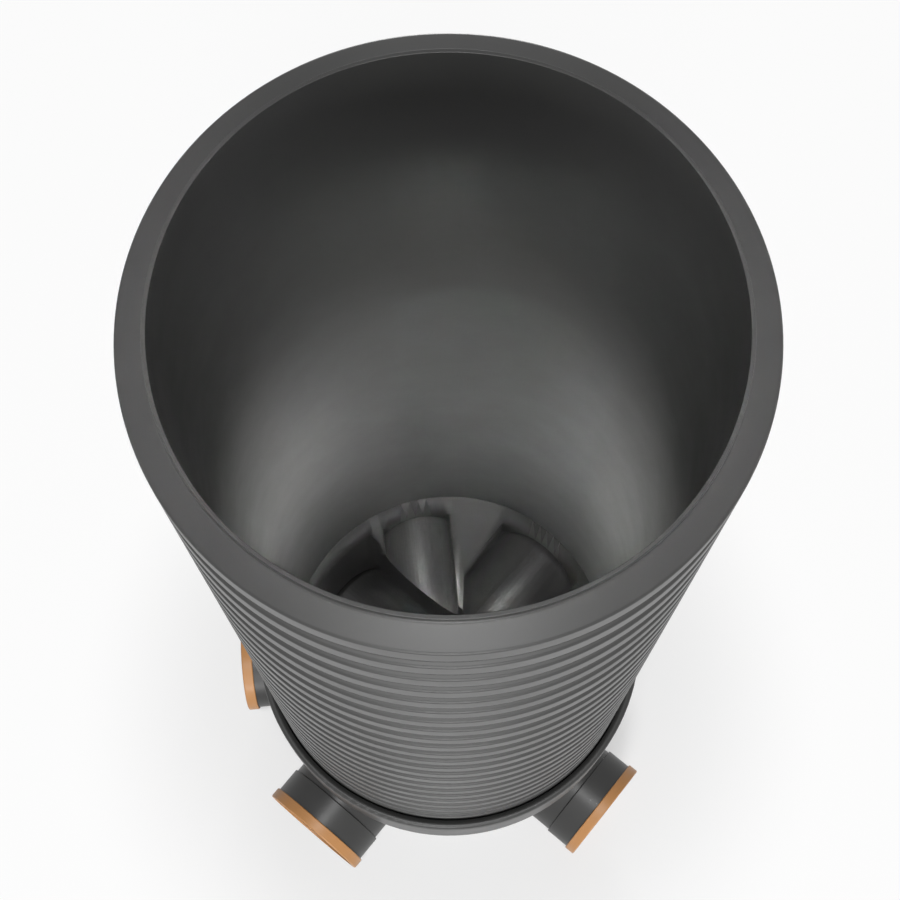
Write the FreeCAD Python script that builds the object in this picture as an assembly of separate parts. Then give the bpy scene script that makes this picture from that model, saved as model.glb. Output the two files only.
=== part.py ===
import FreeCAD, Part
import math
import os

# Drain inspection chamber. A moulded base with channels in its floor carries a ribbed riser
# pipe, and six pipe sockets stand round it. Millimetres, +Z up, the origin on the ground under
# the riser's axis, +X towards the outlet. The two sides mirror each other about the XZ plane.

# Riser pipe, cut in the middle of a valley at both ends
riser_bore_r = 300.0
riser_wall = 4.5
rib_h = 30.5
rib_pitch = 68.0
crown_w = 33.0
valley_w = 17.0
rib_count = 24

# Base shell and its deck. The riser's end stands on the ledge by the seat's width.
seat_w = 2.5
shell_wall = 8.0
body_taper = 14.0
foot_flange_out = 10.0
foot_flange_in = 26.0
deck_z = 408.0
bowl_h = 128.0
web_t = 6.0
web_foot_z = 30.0

# Collar that takes the riser, measured from the rib crowns and from the ledge
collar_gap = 3.0
collar_wall = 15.0
collar_h = 114.0
collar_round = 6.0
collar_band_h = 64.0
collar_band_step = 1.5
collar_drop = 31.0
collar_slope_h = 43.0

# Pipe sizes: outside radius of the pipe that enters, and how far inside it its channel runs
large_pipe_r = 100.0
large_channel_step = 4.0
small_pipe_r = 80.0
small_channel_step = 11.0

# Connections: height of the main channel, necks and sockets outwards from the body, and the
# directions and the sideways shift of the inlets
low_axis_z = 133.0
neck_inset = 60.0
neck_reach = 43.0
neck_fillet = 5.0
large_socket_len = 71.0
small_socket_len = 57.0
side_turn = 90.0
angled_turn = 135.0
angled_shift = 40.0

# Sockets, seals and caps
pipe_gap = 0.6
barrel_wall = 4.4
socket_floor = 6.0
neck_step = 3.5
cap_wall = 3.7
cap_len = 16.0
cap_lip = 4.0
cap_lip_gap = 0.7
cap_edge = 1.8
seal_w = 5.6
seal_back = 0.2

# Tongue of wall that parts an angled channel from the side channel beside it
tongue_tip = 11.0
tongue_len = 68.0

# Riser seal, held in the valley above the riser's lowest rib
seal_shoulder_drop = 3.0
seal_face_w = 18.0

# Fits
seat_gap = 0.3
near = 0.1
beyond = 10.0

# Sizes that follow from the ones above
root_r = riser_bore_r + riser_wall
crown_r = root_r + rib_h
flank_w = (rib_pitch - crown_w - valley_w) / 2.0
collar_socket_r = crown_r + collar_gap
collar_r = collar_socket_r + collar_wall
bowl_r = root_r - seat_w
body_r = bowl_r + shell_wall
foot_r = body_r - body_taper
foot_ring_r = foot_r + foot_flange_out
foot_opening_r = foot_r - foot_flange_in
ledge_z = deck_z + bowl_h
shelf_z = ledge_z - seat_gap
deck_under_z = deck_z - shell_wall
collar_top_z = ledge_z + collar_h
collar_band_z = collar_top_z - collar_band_h
collar_base_z = ledge_z - collar_drop
riser_top_z = ledge_z + rib_count * rib_pitch
neck_from_s = body_r - neck_inset
shoulder_s = body_r + neck_reach
large_mouth_s = shoulder_s + large_socket_len
small_mouth_s = shoulder_s + small_socket_len
large_channel_r = large_pipe_r - large_channel_step
small_channel_r = small_pipe_r - small_channel_step
large_axis_z = deck_z - large_channel_r
small_axis_z = deck_z - small_channel_r

O = FreeCAD.Vector(0, 0, 0)
X = FreeCAD.Vector(1, 0, 0)
Z = FreeCAD.Vector(0, 0, 1)

# Sizes of a large and of a small connection: pipe, channel and mouth
large = (large_pipe_r, large_channel_r, large_mouth_s)
small = (small_pipe_r, small_channel_r, small_mouth_s)

# One row per connection: name, direction, sideways shift, axis height, and its sizes
connections = [
    ("outlet", 0.0, 0.0, low_axis_z, *large),
    ("straight_inlet", 2.0 * side_turn, 0.0, low_axis_z, *large),
    ("side_inlet_left", side_turn, 0.0, large_axis_z, *large),
    ("side_inlet_right", -side_turn, 0.0, large_axis_z, *large),
    ("angled_inlet_left", angled_turn, angled_shift, small_axis_z, *small),
    ("angled_inlet_right", -angled_turn, -angled_shift, small_axis_z, *small),
]

# Webs under the deck: direction and sideways shift, one below each raised channel, and two
# beside the outlet
webs = [
    (side_turn, 0.0), (-side_turn, 0.0), (angled_turn, angled_shift), (-angled_turn, -angled_shift),
    (side_turn / 2.0, 0.0), (-side_turn / 2.0, 0.0),
]


def turned(points):
    """Solid of revolution about Z from (radius, height) points."""
    ring = [FreeCAD.Vector(r, 0, z) for r, z in points]
    face = Part.Face(Part.makePolygon(ring + [ring[0]]))
    return face.revolve(O, Z, 360)


def turned_on_x(points):
    """Solid of revolution about X from (distance, radius) points."""
    ring = [FreeCAD.Vector(s, 0, r) for s, r in points]
    face = Part.Face(Part.makePolygon(ring + [ring[0]]))
    return face.revolve(O, X, 360)


def prism(corners, z0, z1):
    """Upright prism over plan corners (x, y)."""
    ring = [FreeCAD.Vector(x, y, z0) for x, y in corners]
    face = Part.Face(Part.makePolygon(ring + [ring[0]]))
    return face.extrude(FreeCAD.Vector(0, 0, z1 - z0))


def placed(shape, angle, shift, height):
    """Move a shape built along +X to a connection's direction, sideways shift and height."""
    out = shape.copy()
    out.translate(FreeCAD.Vector(0, shift, height))
    out.rotate(O, Z, angle)
    return out


def rod(radius, s0, s1):
    """Cylinder along +X between two distances."""
    return Part.makeCylinder(radius, s1 - s0, FreeCAD.Vector(s0, 0, 0), X)


def channel(radius, reach, rise):
    """Trough along +X: a round bottom about its axis, and straight walls up by the rise."""
    walls = Part.makeBox(reach, 2.0 * radius, rise, FreeCAD.Vector(0, -radius, 0))
    return rod(radius, 0.0, reach).fuse(walls)


def rounded_rim(shape, rim_r, rim_z, size):
    """Round the circular edge that has the given radius and height."""
    edges = []
    for edge in shape.Edges:
        box = edge.BoundBox
        if abs(box.XMax - rim_r) < seat_gap and abs(box.ZMin - rim_z) < seat_gap and box.ZLength < seat_gap:
            edges.append(edge)
    return shape.makeFillet(size, edges)


def joint_edges(shape, angle, shift, axis_z, neck_r):
    """Edges that lie on a neck's own surface short of its shoulder, where it meets the body."""
    turn = math.radians(angle)
    found = []
    for edge in shape.Edges:
        on_neck = True
        for point in edge.discretize(7):
            s = point.x * math.cos(turn) + point.y * math.sin(turn)
            t = point.y * math.cos(turn) - point.x * math.sin(turn) - shift
            off = abs(math.hypot(t, point.z - axis_z) - neck_r)
            on_neck = on_neck and off < near and neck_from_s < s < shoulder_s - near
        if on_neck:
            found.append(edge)
    return found


def riser():
    """Pipe with a smooth bore and ring ribs, both ends cut in the middle of a valley."""
    points = [(riser_bore_r, ledge_z), (root_r, ledge_z)]
    for i in range(rib_count):
        mid = ledge_z + rib_pitch * (i + 0.5)
        points.append((root_r, mid - crown_w / 2.0 - flank_w))
        points.append((crown_r, mid - crown_w / 2.0))
        points.append((crown_r, mid + crown_w / 2.0))
        points.append((root_r, mid + crown_w / 2.0 + flank_w))
    points.append((root_r, riser_top_z))
    points.append((riser_bore_r, riser_top_z))
    return turned(points)


def riser_seal():
    """Rubber ring that fills the valley above the lowest rib and faces the collar's bore."""
    mid = ledge_z + rib_pitch
    slope = flank_w / (crown_r - root_r)
    side_gap = seat_gap * math.hypot(1.0, slope)
    foot = valley_w / 2.0 + slope * seat_gap - side_gap
    seal_shoulder_r = crown_r - seal_shoulder_drop
    shoulder = valley_w / 2.0 + slope * (seal_shoulder_r - root_r) - side_gap
    inner_r = root_r + seat_gap
    outer_r = collar_socket_r - seat_gap
    half_face = seal_face_w / 2.0
    return turned([
        (inner_r, mid - foot), (seal_shoulder_r, mid - shoulder), (outer_r, mid - half_face),
        (outer_r, mid + half_face), (seal_shoulder_r, mid + shoulder), (inner_r, mid + foot),
    ])


def shell_outside():
    """Outer form of the base: flanged foot, tapered body, and the wider collar for the riser."""
    band_r = collar_r - collar_band_step
    form = turned([
        (0, 0), (foot_ring_r, 0), (foot_ring_r, shell_wall), (foot_r, shell_wall),
        (body_r, deck_under_z), (body_r, collar_base_z - collar_slope_h), (band_r, collar_base_z),
        (band_r, collar_band_z), (collar_r, collar_band_z + collar_band_step),
        (collar_r, collar_top_z), (0, collar_top_z),
    ])
    return rounded_rim(form, collar_r, collar_top_z, collar_round)


def room_below(top_z):
    """Room inside the tapered body, from the foot up to the deck, then straight to a height."""
    points = [(0, shell_wall), (foot_r - shell_wall, shell_wall), (bowl_r, deck_under_z)]
    if top_z > deck_under_z:
        points.append((bowl_r, top_z))
    points.append((0, top_z))
    return turned(points)


def tongue(side):
    """Wedge of wall at a side channel's inner end, in that channel's own direction."""
    between = math.radians(angled_turn - side_turn)
    edge_off = (small_channel_r - angled_shift) / math.cos(between)
    tip = large_channel_r * math.tan(between) - edge_off - tongue_tip
    root = large_channel_r - beyond
    knee = large_channel_r + tongue_len
    corners = [(knee, large_channel_r), (root, large_channel_r), (root, tip), (large_channel_r, tip)]
    return prism([(s, side * t) for s, t in corners], -large_channel_r, large_channel_r)


def base():
    """One moulding: shell and collar, deck with its channels, necks for sockets, webs below."""
    room = room_below(deck_z + beyond)
    necks = []
    troughs = []
    linings = []
    for name, angle, shift, axis_z, pipe_r, channel_r, mouth_s in connections:
        neck_r = pipe_r + pipe_gap + barrel_wall - neck_step
        neck = rod(neck_r, neck_from_s, shoulder_s)
        necks.append(placed(neck, angle, shift, axis_z))
        rise = deck_z - axis_z
        trough = channel(channel_r, shoulder_s, rise + beyond)
        if name == "side_inlet_left":
            trough = trough.cut(tongue(1))
        if name == "side_inlet_right":
            trough = trough.cut(tongue(-1))
        troughs.append(placed(trough, angle, shift, axis_z).common(room))
        troughs.append(placed(rod(channel_r, neck_from_s, shoulder_s + beyond), angle, shift, axis_z))
        lining = channel(channel_r + shell_wall, shoulder_s, rise)
        linings.append(placed(lining, angle, shift, axis_z))
    for angle, shift in webs:
        web = Part.makeBox(shoulder_s, web_t, deck_z - web_foot_z, FreeCAD.Vector(0, -web_t / 2.0, 0))
        linings.append(placed(web, angle, shift, web_foot_z))
    bowl = turned([
        (0, deck_z), (bowl_r, deck_z), (bowl_r, shelf_z), (collar_socket_r, shelf_z),
        (collar_socket_r, collar_top_z + beyond), (0, collar_top_z + beyond),
    ])
    foot_opening = turned([
        (0, -beyond), (foot_opening_r, -beyond), (foot_opening_r, shell_wall), (0, shell_wall),
    ])
    hollow = room_below(deck_under_z).fuse(foot_opening).cut(linings)
    body = shell_outside().fuse(necks)
    body = body.cut(troughs + [bowl, hollow]).removeSplitter()
    joints = []
    for name, angle, shift, axis_z, pipe_r, channel_r, mouth_s in connections:
        neck_r = pipe_r + pipe_gap + barrel_wall - neck_step
        joints = joints + joint_edges(body, angle, shift, axis_z, neck_r)
    return body.makeFillet(neck_fillet, joints)


def socket(pipe_r, channel_r, mouth_s):
    """Barrel that takes a pipe up to the ring at its inner end, built along +X."""
    back = shoulder_s + seat_gap
    front = mouth_s - cap_lip - seal_w - 2.0 * seat_gap
    bore_r = pipe_r + pipe_gap
    outer_r = bore_r + barrel_wall
    stop = back + socket_floor
    return turned_on_x([
        (back, channel_r), (back, outer_r), (front, outer_r),
        (front, bore_r), (stop, bore_r), (stop, channel_r),
    ])


def cap(pipe_r, mouth_s):
    """Ring that snaps over the barrel's end and holds the lip seal in with its inturned front."""
    back = mouth_s - cap_len
    inner_r = pipe_r + pipe_gap + barrel_wall + seat_gap
    outer_r = inner_r + cap_wall
    lip_r = pipe_r + pipe_gap + cap_lip_gap
    return turned_on_x([
        (back, inner_r), (back, outer_r), (mouth_s - cap_edge, outer_r), (mouth_s, outer_r - cap_edge),
        (mouth_s, lip_r), (mouth_s - cap_lip, lip_r), (mouth_s - cap_lip, inner_r),
    ])


def seal(pipe_r, mouth_s):
    """Rubber ring between the barrel's end and the cap's front."""
    front = mouth_s - cap_lip - seat_gap
    inner_r = pipe_r + pipe_gap + seal_back
    outer_r = pipe_r + pipe_gap + barrel_wall
    return turned_on_x([
        (front - seal_w, inner_r), (front - seal_w, outer_r), (front, outer_r), (front, inner_r),
    ])


# One STEP file for each piece
os.makedirs("parts", exist_ok=True)
base().exportStep("parts/base.step")
riser().exportStep("parts/riser.step")
riser_seal().exportStep("parts/riser_seal.step")
for name, angle, shift, axis_z, pipe_r, channel_r, mouth_s in connections:
    barrel = placed(socket(pipe_r, channel_r, mouth_s), angle, shift, axis_z)
    barrel.exportStep("parts/socket_" + name + ".step")
    ring = placed(cap(pipe_r, mouth_s), angle, shift, axis_z)
    ring.exportStep("parts/cap_" + name + ".step")
    lip = placed(seal(pipe_r, mouth_s), angle, shift, axis_z)
    lip.exportStep("parts/seal_" + name + ".step")
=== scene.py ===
import bmesh
import bpy
import numpy as np
from mathutils import Euler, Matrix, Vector


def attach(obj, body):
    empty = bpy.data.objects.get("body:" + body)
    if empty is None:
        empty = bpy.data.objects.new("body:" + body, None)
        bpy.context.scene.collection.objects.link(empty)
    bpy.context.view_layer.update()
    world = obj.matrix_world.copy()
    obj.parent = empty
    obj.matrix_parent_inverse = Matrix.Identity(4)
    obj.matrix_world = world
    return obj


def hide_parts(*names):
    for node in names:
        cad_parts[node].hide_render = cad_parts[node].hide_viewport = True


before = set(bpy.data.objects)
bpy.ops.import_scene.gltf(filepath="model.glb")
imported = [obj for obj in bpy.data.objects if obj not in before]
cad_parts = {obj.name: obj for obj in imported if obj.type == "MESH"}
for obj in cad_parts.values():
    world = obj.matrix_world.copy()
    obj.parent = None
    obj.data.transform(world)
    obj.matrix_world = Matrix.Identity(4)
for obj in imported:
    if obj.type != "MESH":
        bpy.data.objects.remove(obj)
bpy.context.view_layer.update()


# The riser is a corrugated pipe of dark polypropylene. It is extruded, and its ribs are drawn out
# against moulds while hot, so crowns and valleys have soft corners and the bore stays smooth.
# It stands loose on the ledge in the base's collar, cut in mid valley at both ends.
def rounded(corners, setback, steps):
    """Closed outline with soft corners, as points and outward normals. Each corner P between
    neighbours in the unit directions u and v gives way to P + t((1-k)^2 u + k^2 v) for k from 0
    to 1, which leaves one side and meets the next at the distance t, the setback, from P. The
    corners run anticlockwise in the plane of distance across and radius up."""
    p = np.asarray(corners, float)
    t = np.broadcast_to(np.asarray(setback, float), (len(p),))[:, None, None]
    u = np.roll(p, 1, 0) - p
    v = np.roll(p, -1, 0) - p
    u = (u / np.linalg.norm(u, axis=1, keepdims=True))[:, None, :]
    v = (v / np.linalg.norm(v, axis=1, keepdims=True))[:, None, :]
    k = np.linspace(0.0, 1.0, steps)[None, :, None]
    points = p[:, None, :] + t * ((1.0 - k) ** 2 * u + k ** 2 * v)
    along = k * v - (1.0 - k) * u
    normals = np.stack([along[..., 1], -along[..., 0]], -1)
    normals = normals / np.linalg.norm(normals, axis=-1, keepdims=True)
    return points.reshape(-1, 2), normals.reshape(-1, 2)


def carried_round(name, outline, start, along, segments):
    """Closed ring surface in millimetres. Each outline point (distance s, radius r) goes to
    start + s along + r(cos a side + sin a up) with a from 0 to a full turn, where side and up
    stand square to along. The outline's normals turn with it, so flats shade flat."""
    points, normals = outline
    start = np.asarray(start, float)
    along = np.asarray(along, float)
    upright = abs(along[2]) > 0.5
    side = np.array([1.0, 0.0, 0.0]) if upright else np.array([-along[1], along[0], 0.0])
    up = np.cross(along, side)
    a = np.linspace(0.0, 2.0 * np.pi, segments, endpoint=False)[None, :, None]
    radial = np.cos(a) * side + np.sin(a) * up
    verts = start + points[:, None, :1] * along + points[:, None, 1:] * radial
    norms = normals[:, None, :1] * along + normals[:, None, 1:] * radial
    i, j = np.meshgrid(np.arange(len(points)), np.arange(segments), indexing="ij")
    i2 = (i + 1) % len(points)
    j2 = (j + 1) % segments
    quads = np.stack([i * segments + j, i2 * segments + j, i2 * segments + j2, i * segments + j2], -1)
    mesh = bpy.data.meshes.new(name)
    mesh.from_pydata((verts.reshape(-1, 3) / 1000.0).tolist(), [], quads.reshape(-1, 4).tolist())
    mesh.shade_smooth()
    mesh.normals_split_custom_set_from_vertices(norms.reshape(-1, 3).tolist())
    piece = bpy.data.objects.new(name, mesh)
    bpy.context.collection.objects.link(piece)
    return piece


def linear(hex_colour):
    """Linear colour from sRGB hex: c / 12.92 up to 0.04045, else ((c + 0.055) / 1.055)^2.4."""
    c = np.array([int(hex_colour[i:i + 2], 16) for i in (0, 2, 4)]) / 255.0
    c = np.where(c <= 0.04045, c / 12.92, ((c + 0.055) / 1.055) ** 2.4)
    return (*c.tolist(), 1.0)


def add(tree, kind, values=None, links=None, **settings):
    """Adds a node with its settings, its sockets' values and the outputs linked to them."""
    made = tree.nodes.new(kind)
    for key, value in settings.items():
        setattr(made, key, value)
    for key, value in (values or {}).items():
        made.inputs[key].default_value = value
    for key, output in (links or {}).items():
        tree.links.new(output, made.inputs[key])
    return made


def plastic(name, dark, light, rough_low, rough_high, patch_mm, grain_mm, grain_depth_mm, stretch, **shader):
    """Moulded or extruded plastic: a slow drift between two tones in patches, a roughness that
    drifts with it, and a fine grain in relief, stretched along the axes as the stretch says."""
    material = bpy.data.materials.new(name)
    material.use_nodes = True
    tree = material.node_tree
    tree.nodes.clear()
    place = add(tree, "ShaderNodeTexCoord")
    pull = add(tree, "ShaderNodeMapping", {"Scale": stretch}, {"Vector": place.outputs["Object"]})
    patch = add(tree, "ShaderNodeTexNoise", {"Scale": 1000.0 / patch_mm, "Detail": 3.0, "Roughness": 0.6},
                {"Vector": place.outputs["Object"]})
    grain = add(tree, "ShaderNodeTexNoise", {"Scale": 1000.0 / grain_mm, "Detail": 2.0, "Roughness": 0.5},
                {"Vector": pull.outputs["Vector"]})
    tone = add(tree, "ShaderNodeMix", {6: linear(dark), 7: linear(light)}, {0: patch.outputs["Fac"]},
               data_type="RGBA")
    rough = add(tree, "ShaderNodeMapRange", {"From Min": 0.3, "From Max": 0.7, "To Min": rough_low,
                "To Max": rough_high}, {"Value": patch.outputs["Fac"]})
    relief = add(tree, "ShaderNodeBump", {"Strength": 1.0, "Distance": grain_depth_mm / 1000.0},
                 {"Height": grain.outputs["Fac"]})
    body = add(tree, "ShaderNodeBsdfPrincipled", {"IOR": 1.49, "Specular IOR Level": 0.38, **shader},
               {"Base Color": tone.outputs[2], "Roughness": rough.outputs["Result"],
                "Normal": relief.outputs["Normal"]})
    add(tree, "ShaderNodeOutputMaterial", None, {"Surface": body.outputs["BSDF"]})
    return material


rib_pitch, crown_w, flank_w = 68.0, 33.0, 9.0
crown_r, root_r, bore_r = 335.0, 304.5, 300.0
foot_z, rib_count = 536.0, 24
cut_edge, root_soft, crown_soft = 0.6, 3.0, 3.2
riser_segments, corner_steps = 192, 4
top_z = foot_z + rib_count * rib_pitch
mid = foot_z + rib_pitch * (np.arange(rib_count)[::-1] + 0.5)
half = crown_w / 2.0
rib_s = np.stack([mid + half + flank_w, mid + half, mid - half, mid - half - flank_w], 1)
rib_r = np.tile([root_r, crown_r, crown_r, root_r], (rib_count, 1))
ribs = np.stack([rib_s, rib_r], -1).reshape(-1, 2)
corners = np.concatenate([[(foot_z, bore_r), (top_z, bore_r), (top_z, root_r)], ribs, [(foot_z, root_r)]])
rib_soft = np.tile([root_soft, crown_soft, crown_soft, root_soft], rib_count)
setback = np.concatenate([[cut_edge] * 3, rib_soft, [cut_edge]])
outline = rounded(corners, setback, corner_steps)
riser = carried_round("riser_pipe", outline, (0, 0, 0), (0, 0, 1), riser_segments)
# Extruded polypropylene: a low satin sheen, with faint draw marks round the pipe
riser_plastic = plastic("extruded polypropylene", "303030", "353534", 0.36, 0.42, 120.0, 6.0, 0.02,
                        (0.15, 0.15, 1.0))
riser.data.materials.append(riser_plastic)
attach(riser, "root")
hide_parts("riser")


# The base is one injection moulding of dark polypropylene: collar, shell, deck with open channels,
# necks for the sockets, and webs under the deck. It stands on the bed of the pit.
same_point, crease = 0.00002, np.radians(28.0)
# Injection moulded polypropylene: the same satin sheen, with the fine even grain of the mould
base_plastic = plastic("moulded polypropylene", "2e2e2e", "343433", 0.37, 0.43, 90.0, 3.0, 0.03,
                       (1.0, 1.0, 1.0))
base_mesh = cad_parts["base"].data.copy()
base_mesh.name = "base_moulding"
shell = bmesh.new()
shell.from_mesh(base_mesh)
bmesh.ops.remove_doubles(shell, verts=shell.verts, dist=same_point)
bmesh.ops.recalc_face_normals(shell, faces=shell.faces)
shell.to_mesh(base_mesh)
shell.free()
base_mesh.shade_smooth()
base_mesh.set_sharp_from_angle(angle=crease)
base_mesh.materials.clear()
base_mesh.materials.append(base_plastic)
base = bpy.data.objects.new("base_moulding", base_mesh)
bpy.context.collection.objects.link(base)
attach(base, "root")
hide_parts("base")


# The riser seal is a ring of rubber that is stretched into the valley above the lowest rib. It
# is pressed against the collar's bore when the riser goes in.
seal_mid, seal_foot, seal_shoulder, seal_face = foot_z + rib_pitch, 8.276, 16.302, 9.0
seal_foot_r, seal_shoulder_r, seal_face_r = 304.8, 332.0, 337.7
# Moulded EPDM rubber: nearly black, with a dull face that spreads what light reaches it
seal_rubber = plastic("moulded EPDM rubber", "161616", "1d1d1d", 0.55, 0.68, 60.0, 4.0, 0.02,
                      (1.0, 1.0, 1.0))
corners = [(seal_mid - seal_foot, seal_foot_r), (seal_mid + seal_foot, seal_foot_r),
           (seal_mid + seal_shoulder, seal_shoulder_r), (seal_mid + seal_face, seal_face_r),
           (seal_mid - seal_face, seal_face_r), (seal_mid - seal_shoulder, seal_shoulder_r)]
outline = rounded(corners, (1.0, 1.0, 1.5, 1.5, 1.5, 1.5), corner_steps)
riser_seal = carried_round("riser_seal_ring", outline, (0, 0, 0), (0, 0, 1), riser_segments)
riser_seal.data.materials.append(seal_rubber)
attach(riser_seal, "root")
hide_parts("riser_seal")


# Each socket is a moulded barrel of dark polypropylene, welded to its neck on the base. A pipe
# goes in as far as the ring at the inner end.
def axis_of(angle, shift, height):
    """Start and direction of a connection's axis, in millimetres. It points out level at the
    angle and starts at the riser's axis, moved sideways by the shift, at the height."""
    turn = np.radians(angle)
    return (-np.sin(turn) * shift, np.cos(turn) * shift, height), (np.cos(turn), np.sin(turn), 0.0)


# Name, angle, sideways shift, axis height, mouth radius, channel radius, and mouth's distance
connections = [
    ("outlet", 0.0, 0.0, 133.0, 100.6, 96.0, 424.0),
    ("straight_inlet", 180.0, 0.0, 133.0, 100.6, 96.0, 424.0),
    ("side_inlet_left", 90.0, 0.0, 312.0, 100.6, 96.0, 424.0),
    ("side_inlet_right", 270.0, 0.0, 312.0, 100.6, 96.0, 424.0),
    ("angled_inlet_left", 135.0, 40.0, 339.0, 80.6, 69.0, 410.0),
    ("angled_inlet_right", 225.0, -40.0, 339.0, 80.6, 69.0, 410.0),
]
barrel_wall, shoulder_s, floor_w, seal_room = 4.4, 353.3, 6.0, 10.2
mouth_segments = 128
for name, angle, shift, axis_z, mouth_r, channel_r, mouth_s in connections:
    start, along = axis_of(angle, shift, axis_z)
    front = mouth_s - seal_room
    outer = mouth_r + barrel_wall
    corners = [(shoulder_s, channel_r), (shoulder_s + floor_w, channel_r), (shoulder_s + floor_w, mouth_r),
               (front, mouth_r), (front, outer), (shoulder_s, outer)]
    outline = rounded(corners, (0.8, 1.0, 1.0, 0.8, 1.0, 2.2), corner_steps)
    socket = carried_round("socket_" + name + "_barrel", outline, start, along, mouth_segments)
    socket.data.materials.append(base_plastic)
    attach(socket, "root")
    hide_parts("socket_" + name)


# Each cap is a snap ring of orange polypropylene that goes over the barrel's end. Its inturned
# front holds the lip seal against the barrel.
cap_length, front_wall, cap_wall, lip_rise, clearance, cap_steps = 21.0, 4.0, 3.7, 0.7, 0.3, 5
# Injection moulded polypropylene, coloured through: a warm tone with a soft broad highlight
cap_plastic = plastic("moulded orange polypropylene", "b3804e", "b98656", 0.38, 0.46, 40.0, 2.5, 0.02,
                      (1.0, 1.0, 1.0))
for name, angle, shift, axis_z, mouth_r, channel_r, mouth_s in connections:
    start, along = axis_of(angle, shift, axis_z)
    inner = mouth_r + barrel_wall + clearance
    outer = inner + cap_wall
    lip = mouth_r + lip_rise
    back = mouth_s - cap_length
    shelf = mouth_s - front_wall
    corners = [(back, inner), (shelf, inner), (shelf, lip), (mouth_s, lip), (mouth_s, outer), (back, outer)]
    outline = rounded(corners, (0.6, 0.4, 0.6, 1.2, 3.2, 2.4), cap_steps)
    cap = carried_round("cap_" + name + "_ring", outline, start, along, mouth_segments)
    cap.data.materials.append(cap_plastic)
    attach(cap, "root")
    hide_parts("cap_" + name)


# Each lip seal is a ring of rubber between the barrel's end and the cap's front. The ring lies in
# loose and is shown relaxed.
seal_length, seal_rise, seal_top = 5.6, 0.2, 4.4
for name, angle, shift, axis_z, mouth_r, channel_r, mouth_s in connections:
    start, along = axis_of(angle, shift, axis_z)
    front = mouth_s - front_wall - clearance
    back = front - seal_length
    inner = mouth_r + seal_rise
    outer = mouth_r + seal_top
    corners = [(back, inner), (front, inner), (front, outer), (back, outer)]
    outline = rounded(corners, (0.8, 0.8, 0.5, 0.5), corner_steps)
    seal = carried_round("seal_" + name + "_ring", outline, start, along, mouth_segments)
    seal.data.materials.append(seal_rubber)
    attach(seal, "root")
    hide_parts("seal_" + name)


# The studio: a matt pale floor whose white glow thins towards the object, so that its foot stands
# in a painted shade and its real soft shadow shows there, a key softbox above the front, two
# softboxes before it and one behind, gridded strips for the riser's bore, and a pale surround.
floor_half = 30.0
floor_mesh = bpy.data.meshes.new("studio_floor")
floor_mesh.from_pydata([(-floor_half, -floor_half, 0), (floor_half, -floor_half, 0), (floor_half, floor_half, 0),
                        (-floor_half, floor_half, 0)], [], [(0, 1, 2, 3)])
floor = bpy.data.objects.new("studio_floor", floor_mesh)
bpy.context.collection.objects.link(floor)
# Matt white paint: near the object its white glow thins, a painted shade that also lets real soft shadows show,
# and further out it looks plain white
floor_paint = bpy.data.materials.new("matt white floor, shade painted near object")
floor_paint.use_nodes = True
tree = floor_paint.node_tree
tree.nodes.clear()
rays = add(tree, "ShaderNodeLightPath")
matt = add(tree, "ShaderNodeBsdfDiffuse", {"Color": linear("f2f2f2")})
glow = add(tree, "ShaderNodeEmission", {"Color": (1.0, 1.0, 1.0, 1.0), "Strength": 1.0})
seen = add(tree, "ShaderNodeMath", None, {0: rays.outputs["Is Camera Ray"], 1: rays.outputs["Is Glossy Ray"]},
           operation="MAXIMUM")
place = add(tree, "ShaderNodeTexCoord")
away = add(tree, "ShaderNodeVectorMath", None, {0: place.outputs["Object"]}, operation="LENGTH")
# Painted shade: the glow's share drops from 0.9 beyond 0.85 m to 0.3 within 0.42 m of the axis, so the floor is
# painted darker round the object
glow_fade_painted_shade = add(tree, "ShaderNodeMapRange", {"From Min": 0.42, "From Max": 0.85, "To Min": 0.3, "To Max": 0.9},
           {"Value": away.outputs["Value"]}, interpolation_type="SMOOTHSTEP")
share = add(tree, "ShaderNodeMath", None, {0: seen.outputs[0], 1: glow_fade_painted_shade.outputs[0]}, operation="MULTIPLY")
both = add(tree, "ShaderNodeMixShader", None, {"Fac": share.outputs[0], 1: matt.outputs[0], 2: glow.outputs[0]})
add(tree, "ShaderNodeOutputMaterial", None, {"Surface": both.outputs[0]})
floor_mesh.materials.append(floor_paint)


front_azimuth, lamp_distance = -50.3, 6.0


def lamp(name, size_x, size_y, watts, spread, turn, tilt, reach, height):
    """Area lamp at the lamp distance from its target, which lies reach behind the axis at the
    given height. It stands over the front, turned round the axis by turn and leaning from
    upright by tilt, and its light leaves it within the angle of its spread."""
    light = bpy.data.lights.new(name, "AREA")
    light.shape = "RECTANGLE"
    light.size = size_x
    light.size_y = size_y
    light.energy = watts
    light.spread = np.radians(spread)
    azimuth = np.radians(turn + front_azimuth)
    front = Vector((np.cos(azimuth), np.sin(azimuth), 0.0))
    way = Vector((0.0, 0.0, np.cos(np.radians(tilt)))) + front * np.sin(np.radians(tilt))
    made = bpy.data.objects.new(name, light)
    made.location = Vector((0.0, 0.0, height)) - front * reach + way * lamp_distance
    made.rotation_euler = way.to_track_quat("Z", "Y").to_euler()
    bpy.context.collection.objects.link(made)


lamp("key softbox", 0.3, 0.3, 225.0, 180.0, 0.0, 12.5, 0.0, 1.6)
lamp("front softbox", 2.0, 1.0, 120.0, 180.0, 0.0, 50.0, 0.0, 1.4)
lamp("low front softbox", 2.0, 1.0, 172.0, 180.0, 0.0, 80.0, 0.0, 1.4)
lamp("back softbox", 2.0, 1.0, 150.0, 180.0, 180.0, 90.0, 0.0, 1.2)
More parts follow.
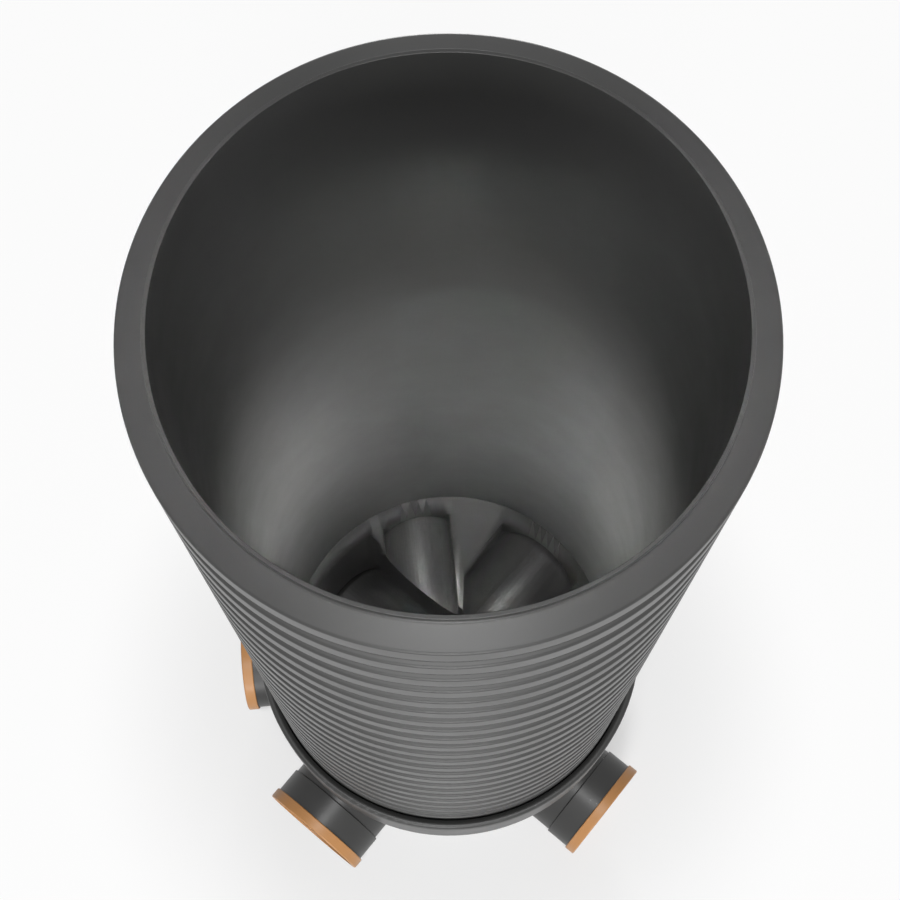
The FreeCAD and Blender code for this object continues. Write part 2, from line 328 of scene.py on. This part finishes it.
# Rows of gridded strips shine down the riser on its far wall, each row at its own height and with
# its watts for the turns to either side, and a gridded spot shines on the deck
lamp("wide gridded strip", 0.4, 0.08, 2.6, 6.0, 0.0, 16.7, 0.3, 1.15)
strip_rows = (
    (0.85, ((0.0, 0.35), (30.0, 0.45), (58.0, 0.75), (78.0, 0.65))),
    (1.15, ((0.0, 0.06), (30.0, 0.25), (58.0, 0.7), (78.0, 1.0))),
    (1.45, ((0.0, 0.16), (30.0, 0.11), (58.0, 0.18), (78.0, 0.35))),
    (1.8, ((0.0, 0.12), (30.0, 0.05), (58.0, 0.03))),
)
# Each beam passes the mouth's height this far nearer the front than where it lands on the wall
mouth_run, mouth_height, wall_reach = 0.4, 2.15, 0.3
for height, row in strip_rows:
    lean = np.degrees(np.arctan(mouth_run / (mouth_height - height)))
    for turn, watts in row:
        for side_turn in sorted({-turn, turn}):
            lamp("gridded strip", 0.3, 0.08, watts, 2.6, side_turn, lean, wall_reach, height)
lamp("deck spot", 0.2, 0.2, 0.35, 2.5, 0.0, 2.0, 0.1, 0.41)

world = bpy.data.worlds.new("pale surround")
world.use_nodes = True
tree = world.node_tree
tree.nodes.clear()
rays = add(tree, "ShaderNodeLightPath")
seen = add(tree, "ShaderNodeMath", None, {0: rays.outputs["Is Camera Ray"], 1: rays.outputs["Is Glossy Ray"]},
           operation="MAXIMUM")
seen = add(tree, "ShaderNodeMath", None, {0: seen.outputs[0], 1: rays.outputs["Is Transmission Ray"]},
           operation="MAXIMUM")
room = add(tree, "ShaderNodeBackground", {"Color": (1.0, 1.0, 1.0, 1.0), "Strength": 0.05})
white = add(tree, "ShaderNodeBackground", {"Color": (1.0, 1.0, 1.0, 1.0), "Strength": 1.0})
both = add(tree, "ShaderNodeMixShader", None, {"Fac": seen.outputs[0], 1: room.outputs[0], 2: white.outputs[0]})
add(tree, "ShaderNodeOutputWorld", None, {"Surface": both.outputs[0]})
bpy.context.scene.world = world

camera_data = bpy.data.cameras.new("camera")
camera_data.sensor_width = 36.0
camera_data.lens = 66.92
camera_data.clip_end = 100.0
camera = bpy.data.objects.new("camera", camera_data)
camera.location = (0.4091, -0.4928, 3.7014)
camera.rotation_euler = Euler(np.radians([18.148, 0.0, 39.56]))
bpy.context.collection.objects.link(camera)
bpy.context.scene.camera = camera
bpy.context.scene.view_settings.view_transform = "Standard"
